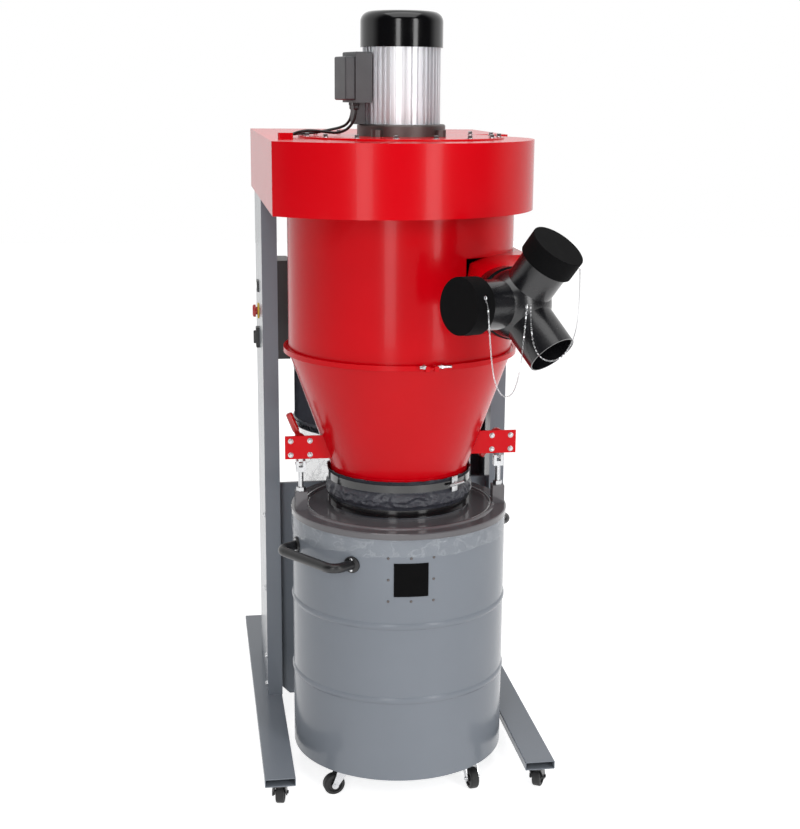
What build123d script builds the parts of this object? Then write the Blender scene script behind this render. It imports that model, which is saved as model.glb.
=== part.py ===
"""Mobile cyclone dust collector, in millimetres.

+Z is up, the front is towards -Y, and the origin is on the floor under the axis of the cyclone.
"""
from build123d import *
from math import cos, radians, sin, sqrt, tan
import os

os.makedirs("parts", exist_ok=True)

# Clearances
seat_gap = 0.3
running_gap = 0.05
fold_gap = 0.5

# Base frame: two flat legs, a crossbar and two folded side panels
leg_width = 70
leg_height = 20
leg_wall = 2
leg_top = 88
leg_front = -238
leg_rear = 790
leg_outer = 336
crossbar_depth = 40
panel_outer = 302
panel_face = 37
panel_lip = 58
panel_front = 219
panel_depth = 301
panel_sheet = 2
back_panel_bottom = 70
back_panel_top = 638
back_panel_flange = 12
back_panel_corner = 22
back_panel_setback = 47

# Cyclone: barrel, joint ring and cone
barrel_radius = 255
barrel_sheet = 2
barrel_lip = 2
barrel_lip_height = 12
joint_level = 1029
joint_flange = 9
joint_flange_thickness = 3
clamp_ring_wall = 2.5
clamp_ring_height = 11
cone_bottom = 755
neck_radius = 160
neck_sheet = 2
spigot_length = 33

# Fan housing, cover and filter plenum
housing_bottom = 1349
housing_height = 152
housing_sheet = 3
scroll_radius = 345
scroll_shift = 50
scroll_rear = 262
outlet_width = 170
vortex_radius = 125
vortex_length = 190
cover_radius = 229
cover_thickness = 4
plenum_rear = 700
bushing_x = -264
bushing_y = 90
bushing_width = 32
bushing_depth = 16
bushing_height = 13

# Motor
motor_flange_radius = 98
motor_flange_height = 26
flange_lug_reach = 100
flange_lug_radius = 13
flange_lug_height = 15
flange_turn = 50
motor_radius = 86
motor_length = 164
fin_height = 7
fin_width = 3
fin_root = 2
fin_count = 40
cowl_radius = 91
cowl_height = 78
cowl_shoulder = 26
cowl_shoulder_drop = 24
cowl_crown_rise = 2

# Inlet duct and three-way manifold
inlet_width = 150
inlet_height = 170
inlet_level = 1174
inlet_straight = 185
inlet_end = 296
inlet_radius = 75
inlet_tilt = 6
hub_reach = 97
hub_radius = 72
port_radius = 50.8
port_wall = 3
port_reach = 133
port_spread = 60
cap_radius = 58
cap_wall = 4
cap_skirt = 45
cap_overhang = 22

# Filter canister and dust bag
filter_radius = 210
filter_bottom = 742
filter_gap = 8
filter_rim = 14
filter_band = 22
bag_length = 330
bag_inset = 6
bag_foot_round = 70

# Drum, lid and lifting gear
drum_radius = 250
drum_bottom = 69
drum_sheet = 2
drum_bead_height = 3
drum_bead_width = 16
drum_beads = (264, 441)
drum_rim = 12
handle_angle = -145
handle_level = 580
handle_span = 190
handle_reach = 36
handle_radius = 11
handle_bend = 24
drum_caster_radius = 212
lid_top = 658
lid_sheet = 2
lid_skirt = 14
lid_bead_radius = 218
lid_bead_width = 14
lid_bead_height = 4
collar_height = 32
film_gap = 0.3
film_thickness = 0.7
film_drop = 55
sleeve_thickness = 4
band_thickness = 2
band_height = 17
sleeve_lift_off = 6
sleeve_top_drop = 3
band_inset = 4
rod_x = 232
rod_y = -25
rod_radius = 6
rod_engagement = 18
nut_across = 19
nut_height = 10
clevis_width = 22
clevis_depth = 18
clevis_height = 28
clevis_slot = 10
clevis_gap = 6
clevis_slot_depth = 17
clevis_chamfer = 2
clevis_pin_radius = 3
clevis_pin_drop = 9
clevis_pin_proud = 2
plate_gap = 7
gusset_depth = 26
lug_width = 28
lug_height = 42
lug_wall = 2.5
bracket_low = 781
bracket_high = 835
bracket_inner = 205
bracket_outer = 269
bracket_thickness = 4
pivot_level = 818
pivot_radius = 5
pivot_proud = 3
lever_thickness = 10
lever_length = 66
lever_gap = 6
lever_grip_radius = 8
lever_boss_radius = 13
lever_arm_length = 46
lever_arm_width = 12
lever_arm_thickness = 6
lever_grip_start = 22
lever_grip_round = 4
left_lever_angle = 112
right_lever_angle = 236

# Casters
wheel_radius = 25
wheel_width = 20
caster_trail = 22
fork_sheet = 2.5
axle_radius = 4
caster_plate = 50
caster_plate_thickness = 3
raceway_radius = 20
raceway_height = 6.5
kingpin_radius = 5
kingpin_head = 2.4
kingpin_rim = 3
wheel_side_gap = 3
tread_round = 4
hub_recess = 3
recess_outer = 17
recess_inner = 8
fork_crown = 30
fork_foot = 16
axle_proud = 3
pedal_length = 34
pedal_width = 18
pedal_thickness = 3
pedal_turn = 65
leg_caster_inset = 38


def level(z):
    """A horizontal plane at a height."""
    return Plane.XY.offset(z)


def facing_back(x, y, z):
    """A plane across the machine whose normal runs to the back, with X to the right."""
    return Plane(origin=(x, y, z), x_dir=(1, 0, 0), z_dir=(0, 1, 0))


def facing_right(x, y, z):
    """A plane along the machine whose normal runs to the right, with Y across and Z up."""
    return Plane(origin=(x, y, z), x_dir=(0, 1, 0), z_dir=(1, 0, 0))


def save(builder, name):
    """Label a finished piece and write it."""
    builder.part.label = name
    export_step(builder.part, f"parts/{name}.step")
    print(name, round(builder.part.volume / 1000), "cm3")


def ring(radius, wall, z):
    """A flat ring round the axis of the cyclone, to be extruded into a tube."""
    with BuildSketch(level(z)) as outline:
        Circle(radius)
        Circle(radius - wall, mode=Mode.SUBTRACT)
    return outline.sketch


# Legs: flat rectangular tubes, open at the front and closed at the back by the crossbar
leg_middle = leg_outer - leg_width / 2
leg_low = leg_top - leg_height

for side, name in ((-1, "left_leg"), (1, "right_leg")):
    with BuildPart() as leg:
        with BuildSketch(facing_back(side * leg_middle, leg_front, leg_top - leg_height / 2)):
            RectangleRounded(leg_width, leg_height, leg_wall * 1.2)
            Rectangle(leg_width - 2 * leg_wall, leg_height - 2 * leg_wall, mode=Mode.SUBTRACT)
        extrude(amount=leg_rear - leg_front)
    save(leg, name)

leg_inner = leg_outer - leg_width
with BuildPart() as crossbar:
    with BuildSketch(facing_right(-leg_inner, leg_rear - crossbar_depth / 2, leg_top - leg_height / 2)):
        Rectangle(crossbar_depth, leg_height)
        Rectangle(crossbar_depth - 2 * leg_wall, leg_height - 2 * leg_wall, mode=Mode.SUBTRACT)
    extrude(amount=2 * leg_inner)
save(crossbar, "rear_crossbar")

# Side panels: sheet folded into a channel with lips, from the legs up to the fan housing
panel_rear = panel_front + panel_depth
panel_inner = panel_outer - panel_face
for side, name in ((-1, "left_side_panel"), (1, "right_side_panel")):
    with BuildPart() as panel:
        with BuildSketch(level(leg_top)):
            with BuildLine():
                Polyline(
                    (side * panel_inner, panel_front + panel_lip),
                    (side * panel_inner, panel_front),
                    (side * panel_outer, panel_front),
                    (side * panel_outer, panel_rear),
                    (side * panel_inner, panel_rear),
                    (side * panel_inner, panel_rear - panel_lip),
                )
                offset(amount=panel_sheet, side=Side.RIGHT if side < 0 else Side.LEFT)
            make_face()
        extrude(amount=housing_bottom - leg_top)
    save(panel, name)

# Lower back panel behind the drum, its top edge folded to the back
back_panel_y = panel_front + back_panel_setback
with BuildPart() as back_panel:
    with BuildSketch(facing_back(0, back_panel_y, (back_panel_bottom + back_panel_top) / 2)):
        Rectangle(2 * panel_inner, back_panel_top - back_panel_bottom)
    extrude(amount=panel_sheet)
    chamfer(
        back_panel.edges().filter_by(Axis.Y).group_by(Axis.Z)[0],
        length=back_panel_corner,
    )
    with BuildSketch(level(back_panel_top - panel_sheet)):
        with Locations((0, back_panel_y + back_panel_flange / 2)):
            Rectangle(2 * panel_inner, back_panel_flange)
    extrude(amount=panel_sheet)
save(back_panel, "lower_back_panel")

# Control enclosure inside the left panel, behind its front lip
box_width = 30
box_depth = 110
box_low = 964
box_high = 1203
with BuildPart() as control_box:
    with BuildSketch(level(box_low)):
        with Locations((-panel_inner + box_width / 2, panel_front + box_depth / 2 + panel_sheet)):
            Rectangle(box_width, box_depth)
    extrude(amount=box_high - box_low)
    fillet(control_box.edges().filter_by(Axis.Z).group_by(Axis.X)[-1], radius=3)
save(control_box, "control_box")

# Operating controls on the outer face of the left panel
control_y = 400
display_level = 1120
display_width = 46
display_height = 28
display_depth = 4
stop_level = 1056
switch_level = 989
switch_width = 36
switch_height = 52
switch_depth = 8
rocker_width = 18
rocker_height = 34
rocker_depth = 6
panel_skin = -panel_outer
with BuildPart() as display:
    with BuildSketch(facing_right(panel_skin, control_y, display_level)):
        RectangleRounded(display_width, display_height, 3)
    extrude(amount=-display_depth)
    fillet(display.faces().sort_by(Axis.X)[0].edges(), radius=1)
save(display, "speed_display")

stop_collar_radius = 20
stop_collar_height = 3
stop_head_radius = 16
stop_head_height = 8
stop_head_round = 4
stop_stem_radius = 10
stop_travel = 3
stop_stem_gap = 0.5
stop_head_gap = 1.5
with BuildPart() as stop_collar:
    with BuildSketch(facing_right(panel_skin, control_y, stop_level)):
        Circle(stop_collar_radius)
        Circle(stop_stem_radius + running_gap, mode=Mode.SUBTRACT)
    extrude(amount=-stop_collar_height)
    chamfer(stop_collar.faces().sort_by(Axis.X)[0].edges().sort_by(SortBy.RADIUS)[-1], length=1)
save(stop_collar, "emergency_stop_collar")

with BuildPart() as stop_button:
    stem_inner = panel_skin - stop_travel - stop_stem_gap
    head_inner = panel_skin - stop_collar_height - stop_travel - stop_head_gap
    with BuildSketch(facing_right(stem_inner, control_y, stop_level)):
        Circle(stop_stem_radius)
    extrude(amount=head_inner - stem_inner)
    with BuildSketch(facing_right(head_inner, control_y, stop_level)):
        Circle(stop_head_radius)
    extrude(amount=-stop_head_height)
    fillet(stop_button.faces().sort_by(Axis.X)[0].edges(), radius=stop_head_round)
save(stop_button, "emergency_stop_button")

with BuildPart() as switch:
    with BuildSketch(facing_right(panel_skin, control_y, switch_level)):
        RectangleRounded(switch_width, switch_height, 5)
    extrude(amount=-switch_depth)
    fillet(switch.faces().sort_by(Axis.X)[0].edges(), radius=2)
    with BuildSketch(facing_right(panel_skin - switch_depth, control_y, switch_level)):
        SlotOverall(rocker_height, rocker_width, rotation=90)
    extrude(amount=-rocker_depth, taper=6)
save(switch, "power_switch")

# Cyclone barrel: a rolled shell with a flange at its foot and the slot where the inlet enters
barrel_top = housing_bottom
joint_low = joint_level - joint_flange_thickness
joint_high = joint_level + joint_flange_thickness
flange_radius = barrel_radius + joint_flange
inlet_x = barrel_radius - inlet_width / 2
with BuildPart() as barrel:
    extrude(ring(barrel_radius, barrel_sheet, joint_level), amount=barrel_top - joint_level)
    extrude(ring(flange_radius, joint_flange + barrel_sheet, joint_level), amount=joint_flange_thickness)
    lip_ring = ring(barrel_radius + barrel_lip, barrel_lip + barrel_sheet, barrel_top)
    extrude(lip_ring, amount=-barrel_lip_height)
    with BuildSketch(facing_back(inlet_x, -barrel_radius, inlet_level)):
        Rectangle(inlet_width - 2 * barrel_sheet, inlet_height - 2 * barrel_sheet)
    extrude(amount=barrel_radius, mode=Mode.SUBTRACT)
save(barrel, "cyclone_barrel")

# Inlet duct: a tangential box that turns into a round spigot, leaning up by the inlet tilt
tilt = radians(inlet_tilt)
inlet_axis = Vector(0, -cos(tilt), sin(tilt))
spigot_plane = Plane(
    origin=(inlet_x, -inlet_end, inlet_level), x_dir=(1, 0, 0), z_dir=(0, -cos(tilt), sin(tilt))
)
box_plane = Plane(origin=(inlet_x, -inlet_straight, inlet_level), x_dir=(1, 0, 0), z_dir=(0, -1, 0))
inlet_spigot = 26
inlet_sheet = 2
with BuildPart() as inlet_duct:
    with BuildSketch(box_plane):
        Rectangle(inlet_width, inlet_height)
    extrude(amount=-inlet_straight)
    with BuildSketch(box_plane):
        Rectangle(inlet_width, inlet_height)
    with BuildSketch(spigot_plane):
        Circle(inlet_radius - port_wall)
    loft()
    with BuildSketch(spigot_plane):
        Circle(inlet_radius - port_wall)
    extrude(amount=inlet_spigot)
    with BuildSketch(box_plane):
        Rectangle(inlet_width - 2 * inlet_sheet, inlet_height - 2 * inlet_sheet)
    extrude(amount=-inlet_straight, mode=Mode.SUBTRACT)
    with BuildSketch(box_plane):
        Rectangle(inlet_width - 2 * inlet_sheet, inlet_height - 2 * inlet_sheet)
    with BuildSketch(spigot_plane):
        Circle(inlet_radius - port_wall - inlet_sheet)
    loft(mode=Mode.SUBTRACT)
    with BuildSketch(spigot_plane):
        Circle(inlet_radius - port_wall - inlet_sheet)
    extrude(amount=inlet_spigot, mode=Mode.SUBTRACT)
    with BuildSketch(level(joint_level)):
        Circle(barrel_radius)
    extrude(amount=barrel_top - joint_level, mode=Mode.SUBTRACT)
    split(bisect_by=Plane(origin=(0, -1, 0), x_dir=(1, 0, 0), z_dir=(0, -1, 0)), keep=Keep.TOP)
save(inlet_duct, "inlet_duct")

# Cone: a flanged rim, a straight taper and a short spigot for the sleeve
taper_top = joint_low - 4
with BuildPart() as cone:
    with BuildSketch(Plane.XZ):
        with BuildLine():
            Polyline(
                (flange_radius, joint_level),
                (flange_radius, joint_low),
                (barrel_radius, joint_low),
                (barrel_radius, taper_top),
                (neck_radius, cone_bottom),
                (neck_radius, cone_bottom - spigot_length),
                (neck_radius - neck_sheet, cone_bottom - spigot_length),
                (neck_radius - neck_sheet, cone_bottom),
                (barrel_radius - barrel_sheet, taper_top),
                (barrel_radius - barrel_sheet, joint_level),
                close=True,
            )
        make_face()
    revolve(axis=Axis.Z)
save(cone, "cone")

# Clamp ring round the joint of barrel and cone, split at the front right for its draw bolt
clamp_radius = flange_radius + clamp_ring_wall
clamp_turn = radians(-84)
clamp_slot = 10
clamp_lug = 14
clamp_lug_width = 10
clamp_bead = 4
clamp_bolt_radius = 2.5
clamp_bolt_length = 48
clamp_bolt_reach = 8
with BuildPart() as clamp:
    with BuildSketch(Plane.XZ):
        with BuildLine():
            half = clamp_ring_height / 2
            Polyline(
                (flange_radius + seat_gap, joint_level - joint_flange_thickness),
                (flange_radius - clamp_bead, joint_level - joint_flange_thickness),
                (flange_radius - clamp_bead, joint_level - half),
                (clamp_radius, joint_level - half),
                (clamp_radius, joint_level + half),
                (flange_radius - clamp_bead, joint_level + half),
                (flange_radius - clamp_bead, joint_level + joint_flange_thickness),
                (flange_radius + seat_gap, joint_level + joint_flange_thickness),
                close=True,
            )
        make_face()
    revolve(axis=Axis.Z)
    draw = Plane(
        origin=(clamp_radius * cos(clamp_turn), clamp_radius * sin(clamp_turn), joint_level),
        x_dir=(-sin(clamp_turn), cos(clamp_turn), 0),
        z_dir=(cos(clamp_turn), sin(clamp_turn), 0),
    )
    with BuildSketch(draw.offset(-clamp_ring_wall - 2 * clamp_bead)):
        Rectangle(clamp_slot, clamp_ring_height * 2)
    extrude(amount=4 * clamp_bead, mode=Mode.SUBTRACT)
    for turn in (-1, 1):
        with BuildSketch(draw.offset(-clamp_ring_wall / 2)):
            with Locations((turn * (clamp_slot + clamp_lug_width) / 2, 0)):
                Rectangle(clamp_lug_width, clamp_ring_height)
        extrude(amount=clamp_lug)
    bolt_middle = draw.offset(clamp_bolt_reach).origin
    with BuildSketch(Plane(origin=bolt_middle, x_dir=(0, 0, 1), z_dir=draw.x_dir)):
        Circle(clamp_bolt_radius)
    extrude(amount=clamp_bolt_length / 2, both=True)
save(clamp, "joint_clamp_ring")

# Fan housing: a flat-sided scroll, opened below for the riser from the cone and behind for the outlet
housing_top = housing_bottom + housing_height
scroll_right = scroll_radius - scroll_shift
plenum_front = 200
outlet_inner = -panel_outer + outlet_width
outlet_plane = facing_back(
    -panel_outer + outlet_width / 2, plenum_front, housing_bottom + housing_height / 2
)


def scroll_outline(z, inset):
    """The plan of the scroll at a height, drawn inside its outer face by the inset."""
    radius = scroll_radius - inset
    left = -panel_outer + inset
    corner_y = -sqrt(radius**2 - (left + scroll_shift) ** 2)
    right = scroll_right - inset
    rear = scroll_rear - inset
    low_angle = radians(-75)
    with BuildSketch(level(z)) as outline:
        with BuildLine():
            front = ThreePointArc(
                (left, corner_y),
                (-scroll_shift + radius * cos(low_angle), radius * sin(low_angle)),
                (right, 0),
            )
            back = ThreePointArc(
                (right, 0), (right * cos(radians(45)), rear * sin(radians(45))), (0, rear)
            )
            Polyline(
                back @ 1,
                (outlet_inner + inset, rear),
                (outlet_inner + inset, plenum_front - inset),
                (left, plenum_front - inset),
                front @ 0,
            )
        make_face()
    return outline.sketch


with BuildPart() as housing:
    extrude(scroll_outline(housing_bottom, 0), amount=housing_height)
    extrude(
        scroll_outline(housing_bottom + housing_sheet, housing_sheet),
        amount=housing_height - 2 * housing_sheet,
        mode=Mode.SUBTRACT,
    )
    with BuildSketch(level(housing_bottom - 1)):
        Circle(vortex_radius - barrel_sheet)
    extrude(amount=housing_sheet + 2, mode=Mode.SUBTRACT)
    with BuildSketch(outlet_plane):
        Rectangle(outlet_width - 4 * housing_sheet, housing_height - 4 * housing_sheet)
    extrude(amount=-2 * housing_sheet, mode=Mode.SUBTRACT)
    extrude(
        ring(vortex_radius, barrel_sheet, housing_bottom + housing_sheet),
        amount=-vortex_length - housing_sheet,
    )
    with BuildSketch(level(housing_top)):
        with Locations((bushing_x, -bushing_y - bushing_depth / 2)):
            RectangleRounded(bushing_width, bushing_depth, 4)
    extrude(amount=bushing_height)
save(housing, "fan_housing")

# Round cover that carries the motor
cover_top = housing_top + cover_thickness
with BuildPart() as cover:
    with BuildSketch(level(housing_top)):
        Circle(cover_radius)
    extrude(amount=cover_thickness)
    fillet(cover.faces().sort_by(Axis.Z)[-1].edges(), radius=1.5)
save(cover, "motor_cover_plate")

# Filter plenum: the box behind the housing that turns the air down into the filter


def plenum_outline(z, inset):
    """The plan of the plenum at a height: wide behind the scroll, narrow beside its outlet."""
    with BuildSketch(level(z)) as outline:
        with BuildLine():
            Polyline(
                (-panel_outer + inset, plenum_front + inset),
                (outlet_inner - fold_gap - inset, plenum_front + inset),
                (outlet_inner - fold_gap - inset, scroll_rear + fold_gap + inset),
                (panel_outer - inset, scroll_rear + fold_gap + inset),
                (panel_outer - inset, plenum_rear - inset),
                (-panel_outer + inset, plenum_rear - inset),
                close=True,
            )
        make_face()
    return outline.sketch


filter_y = clamp_radius + filter_gap + filter_radius
with BuildPart() as plenum:
    extrude(plenum_outline(housing_bottom, 0), amount=housing_height)
    extrude(
        plenum_outline(housing_bottom + housing_sheet, housing_sheet),
        amount=housing_height - 2 * housing_sheet,
        mode=Mode.SUBTRACT,
    )
    with BuildSketch(level(housing_bottom)):
        with Locations((0, filter_y)):
            Circle(filter_radius - filter_rim)
    extrude(amount=housing_sheet, mode=Mode.SUBTRACT)
    with BuildSketch(outlet_plane):
        Rectangle(outlet_width - 4 * housing_sheet, housing_height - 4 * housing_sheet)
    extrude(amount=housing_sheet, mode=Mode.SUBTRACT)
save(plenum, "filter_plenum")

# Filter canister hanging below the plenum, with a rolled band at each end
with BuildPart() as canister:
    with BuildSketch(Plane.XZ.offset(-filter_y)):
        with BuildLine():
            Polyline(
                (filter_radius - filter_rim, housing_bottom),
                (filter_radius, housing_bottom),
                (filter_radius, housing_bottom - filter_band),
                (filter_radius - 3, housing_bottom - filter_band),
                (filter_radius - 3, filter_bottom + filter_band),
                (filter_radius, filter_bottom + filter_band),
                (filter_radius, filter_bottom),
                (filter_radius - filter_rim, filter_bottom),
                close=True,
            )
        make_face()
    revolve(axis=Axis((0, filter_y, 0), (0, 0, 1)))
save(canister, "filter_canister")

# Clear dust bag clipped under the canister, slack at its foot
with BuildPart() as dust_bag:
    with BuildSketch(level(filter_bottom)):
        with Locations((0, filter_y)):
            Circle(filter_radius - bag_inset)
    extrude(amount=-bag_length)
    fillet(dust_bag.faces().sort_by(Axis.Z)[0].edges(), radius=bag_foot_round)
save(dust_bag, "filter_dust_bag")

# Motor: mounting flange, finned body, domed fan cowl and terminal box
flange_top = cover_top + motor_flange_height
with BuildPart() as motor_flange:
    with BuildSketch(level(cover_top)):
        Circle(motor_flange_radius)
    extrude(amount=motor_flange_height)
    fillet(motor_flange.faces().sort_by(Axis.Z)[-1].edges(), radius=4)
    with BuildSketch(level(cover_top)):
        with PolarLocations(flange_lug_reach, 4, start_angle=flange_turn):
            Circle(flange_lug_radius)
    extrude(amount=flange_lug_height)
save(motor_flange, "motor_flange")

body_top = flange_top + motor_length
with BuildPart() as motor_body:
    with BuildSketch(level(flange_top)):
        Circle(motor_radius - fin_height)
        with PolarLocations(motor_radius - (fin_height + fin_root) / 2, fin_count):
            Rectangle(fin_height + fin_root, fin_width)
    extrude(amount=motor_length)
save(motor_body, "motor_body")

with BuildPart() as cowl:
    with BuildSketch(Plane.XZ):
        with BuildLine():
            skirt = Line((0, body_top), (cowl_radius, body_top))
            wall = Line(skirt @ 1, (cowl_radius, body_top + cowl_height - cowl_shoulder_drop))
            shoulder = TangentArc(
                wall @ 1,
                (cowl_radius - cowl_shoulder, body_top + cowl_height - cowl_crown_rise),
                tangent=(0, 1),
            )
            crown = Line(shoulder @ 1, (0, body_top + cowl_height))
            Line(crown @ 1, skirt @ 0)
        make_face()
    revolve(axis=Axis.Z)
save(cowl, "motor_cowl")

box_angle = 195
box_reach = 146
box_face = 78
box_bottom = 1577
box_top = 1684
box_lid_depth = 22
box_lid_step = 5
box_foot_inner = 7
box_foot_depth = 22
box_foot_width = 30
box_saddle = 47
box_saddle_depth = 14
box_saddle_half = 40
terminal = Plane(
    origin=(0, 0, box_bottom),
    x_dir=(cos(radians(box_angle)), sin(radians(box_angle)), 0),
    z_dir=(0, 0, 1),
)
with BuildPart() as terminal_box:
    with BuildSketch(terminal.offset(box_lid_step)):
        with Locations((box_reach - box_lid_depth, 0)):
            Rectangle(2 * box_lid_depth, box_face - 2 * box_lid_step)
    extrude(amount=box_top - box_bottom - 3 * box_lid_step)
    fillet(terminal_box.edges(), radius=4)
    with BuildSketch(terminal):
        with Locations(((box_reach - box_lid_depth + motor_radius) / 2, 0)):
            Rectangle(box_reach - box_lid_depth - motor_radius, box_face)
    extrude(amount=box_top - box_bottom)
    fillet(terminal_box.faces().sort_by(Axis.Z)[-1].edges(), radius=3)
    with BuildSketch(terminal):
        with Locations((motor_radius + box_foot_inner + box_foot_depth / 2, 0)):
            Rectangle(box_foot_depth, box_foot_width)
    extrude(amount=flange_top - box_bottom)
    with BuildSketch(terminal.offset((box_top - box_bottom) / 2)):
        with Locations((motor_radius, 0)):
            Rectangle(box_saddle_depth, box_saddle)
    extrude(amount=box_saddle_half, both=True)
    with BuildSketch(level(flange_top)):
        Circle(motor_radius + seat_gap)
    extrude(amount=motor_length, mode=Mode.SUBTRACT)
save(terminal_box, "terminal_box")

# Inlet manifold: a hollow hub with a collar over the duct spigot and three hose ports in front
hub_plane = Plane(
    origin=spigot_plane.origin + inlet_axis * hub_reach, x_dir=(1, 0, 0), z_dir=inlet_axis.to_tuple()
)


def port_plane(turn):
    """A plane at the hub whose normal runs out along one hose port."""
    lean = radians(port_spread)
    across = hub_plane.x_dir * cos(radians(turn)) + hub_plane.y_dir * sin(radians(turn))
    out = hub_plane.z_dir * cos(lean) + across * sin(lean)
    return Plane(origin=hub_plane.origin, x_dir=hub_plane.z_dir.cross(out), z_dir=out)


side_port, top_port, open_port = port_plane(180), port_plane(60), port_plane(-60)
collar_bore = inlet_radius - port_wall + seat_gap
collar_start = 24
with BuildPart() as manifold:
    with Locations(hub_plane):
        Sphere(hub_radius)
    with BuildSketch(hub_plane.offset(-collar_start)):
        Circle(inlet_radius)
    extrude(amount=collar_start - hub_reach)
    for port in (side_port, top_port, open_port):
        with BuildSketch(port):
            Circle(port_radius)
        extrude(amount=port_reach)
    with Locations(hub_plane):
        Sphere(hub_radius - port_wall, mode=Mode.SUBTRACT)
    with BuildSketch(hub_plane.offset(-collar_start - port_wall)):
        Circle(collar_bore)
    extrude(amount=collar_start + port_wall - hub_reach, mode=Mode.SUBTRACT)
    for port in (side_port, top_port, open_port):
        with BuildSketch(port):
            Circle(port_radius - port_wall)
        extrude(amount=port_reach, mode=Mode.SUBTRACT)
save(manifold, "inlet_manifold")

cap_open_end = port_reach + cap_overhang - cap_skirt
for port, name in ((side_port, "side_port_cap"), (top_port, "top_port_cap")):
    with BuildPart() as cap:
        with BuildSketch(port.offset(cap_open_end)):
            Circle(cap_radius)
        extrude(amount=cap_skirt)
        fillet(cap.edges(), radius=1.5)
        with BuildSketch(port.offset(cap_open_end)):
            Circle(port_radius + seat_gap)
        extrude(amount=cap_skirt - cap_wall, mode=Mode.SUBTRACT)
    save(cap, name)

# Drum: a rolled shell with two swaged beads, a pressed floor and an inturned rim
lid_under = lid_top - lid_sheet
drum_top = lid_under - seat_gap
drum_floor = drum_bottom + 3

with BuildPart() as drum:
    with BuildSketch(Plane.XZ):
        with BuildLine():
            for radius, low, high in (
                (drum_radius, drum_bottom, drum_top),
                (drum_radius - drum_sheet, drum_floor + drum_sheet, drum_top - drum_sheet),
            ):
                start = low
                for z in drum_beads:
                    Line((radius, start), (radius, z - drum_bead_width / 2))
                    ThreePointArc(
                        (radius, z - drum_bead_width / 2),
                        (radius + drum_bead_height, z),
                        (radius, z + drum_bead_width / 2),
                    )
                    start = z + drum_bead_width / 2
                Line((radius, start), (radius, high))
            Polyline(
                (drum_radius, drum_top),
                (drum_radius - drum_rim, drum_top),
                (drum_radius - drum_rim, drum_top - drum_sheet),
                (drum_radius - drum_sheet, drum_top - drum_sheet),
            )
            Polyline(
                (drum_radius - drum_sheet, drum_floor + drum_sheet),
                (0, drum_floor + drum_sheet),
                (0, drum_floor),
                (drum_radius - drum_sheet, drum_floor),
                (drum_radius - drum_sheet, drum_bottom),
                (drum_radius, drum_bottom),
            )
        make_face()
    revolve(axis=Axis.Z)
save(drum, "drum")

# Bow handles on the drum, one at the front left and one opposite
with BuildPart() as handles:
    for angle in (handle_angle, handle_angle - 180):
        turn = radians(angle)
        grip_plane = Plane(
            origin=(0, 0, handle_level), x_dir=(-sin(turn), cos(turn), 0), z_dir=(0, 0, 1)
        )
        half_span = handle_span / 2
        with BuildLine(grip_plane):
            root_y = -sqrt(drum_radius**2 - half_span**2)
            bow = FilletPolyline(
                (-half_span, root_y),
                (-half_span, -drum_radius - handle_reach),
                (half_span, -drum_radius - handle_reach),
                (half_span, root_y),
                radius=handle_bend,
            )
        with BuildSketch(Plane(origin=bow @ 0, x_dir=(0, 0, 1), z_dir=bow % 0)):
            Circle(handle_radius)
        sweep()
    with BuildSketch(level(handle_level)):
        Circle(drum_radius)
    extrude(amount=2 * handle_radius, both=True, mode=Mode.SUBTRACT)
save(handles, "drum_handles")

# Rim of the clear bag liner, folded out over the top of the drum
with BuildPart() as film:
    extrude(
        ring(drum_radius + film_gap + film_thickness, film_thickness, drum_top - 2 * seat_gap),
        amount=-film_drop,
    )
save(film, "bag_liner_rim")

# Lid: a dished plate with a raised bead, a skirt over the liner and a collar for the sleeve
skirt_inner = drum_radius + 2 * film_gap + film_thickness
skirt_outer = skirt_inner + lid_sheet
with BuildPart() as lid:
    with BuildSketch(Plane.XZ):
        with BuildLine():
            Polyline(
                (neck_radius - neck_sheet, lid_under),
                (neck_radius - neck_sheet, lid_top + collar_height),
                (neck_radius, lid_top + collar_height),
                (neck_radius, lid_top),
                (lid_bead_radius - lid_bead_width / 2, lid_top),
            )
            ThreePointArc(
                (lid_bead_radius - lid_bead_width / 2, lid_top),
                (lid_bead_radius, lid_top + lid_bead_height),
                (lid_bead_radius + lid_bead_width / 2, lid_top),
            )
            Polyline(
                (lid_bead_radius + lid_bead_width / 2, lid_top),
                (skirt_outer - lid_sheet, lid_top),
                (skirt_outer, lid_top - lid_sheet),
                (skirt_outer, lid_top - lid_skirt),
                (skirt_inner, lid_top - lid_skirt),
                (skirt_inner, lid_under),
                (lid_bead_radius + lid_bead_width / 2, lid_under),
            )
            ThreePointArc(
                (lid_bead_radius + lid_bead_width / 2, lid_under),
                (lid_bead_radius, lid_under + lid_bead_height),
                (lid_bead_radius - lid_bead_width / 2, lid_under),
            )
            Line((lid_bead_radius - lid_bead_width / 2, lid_under), (neck_radius - neck_sheet, lid_under))
        make_face()
    revolve(axis=Axis.Z)
save(lid, "drum_lid")

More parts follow.
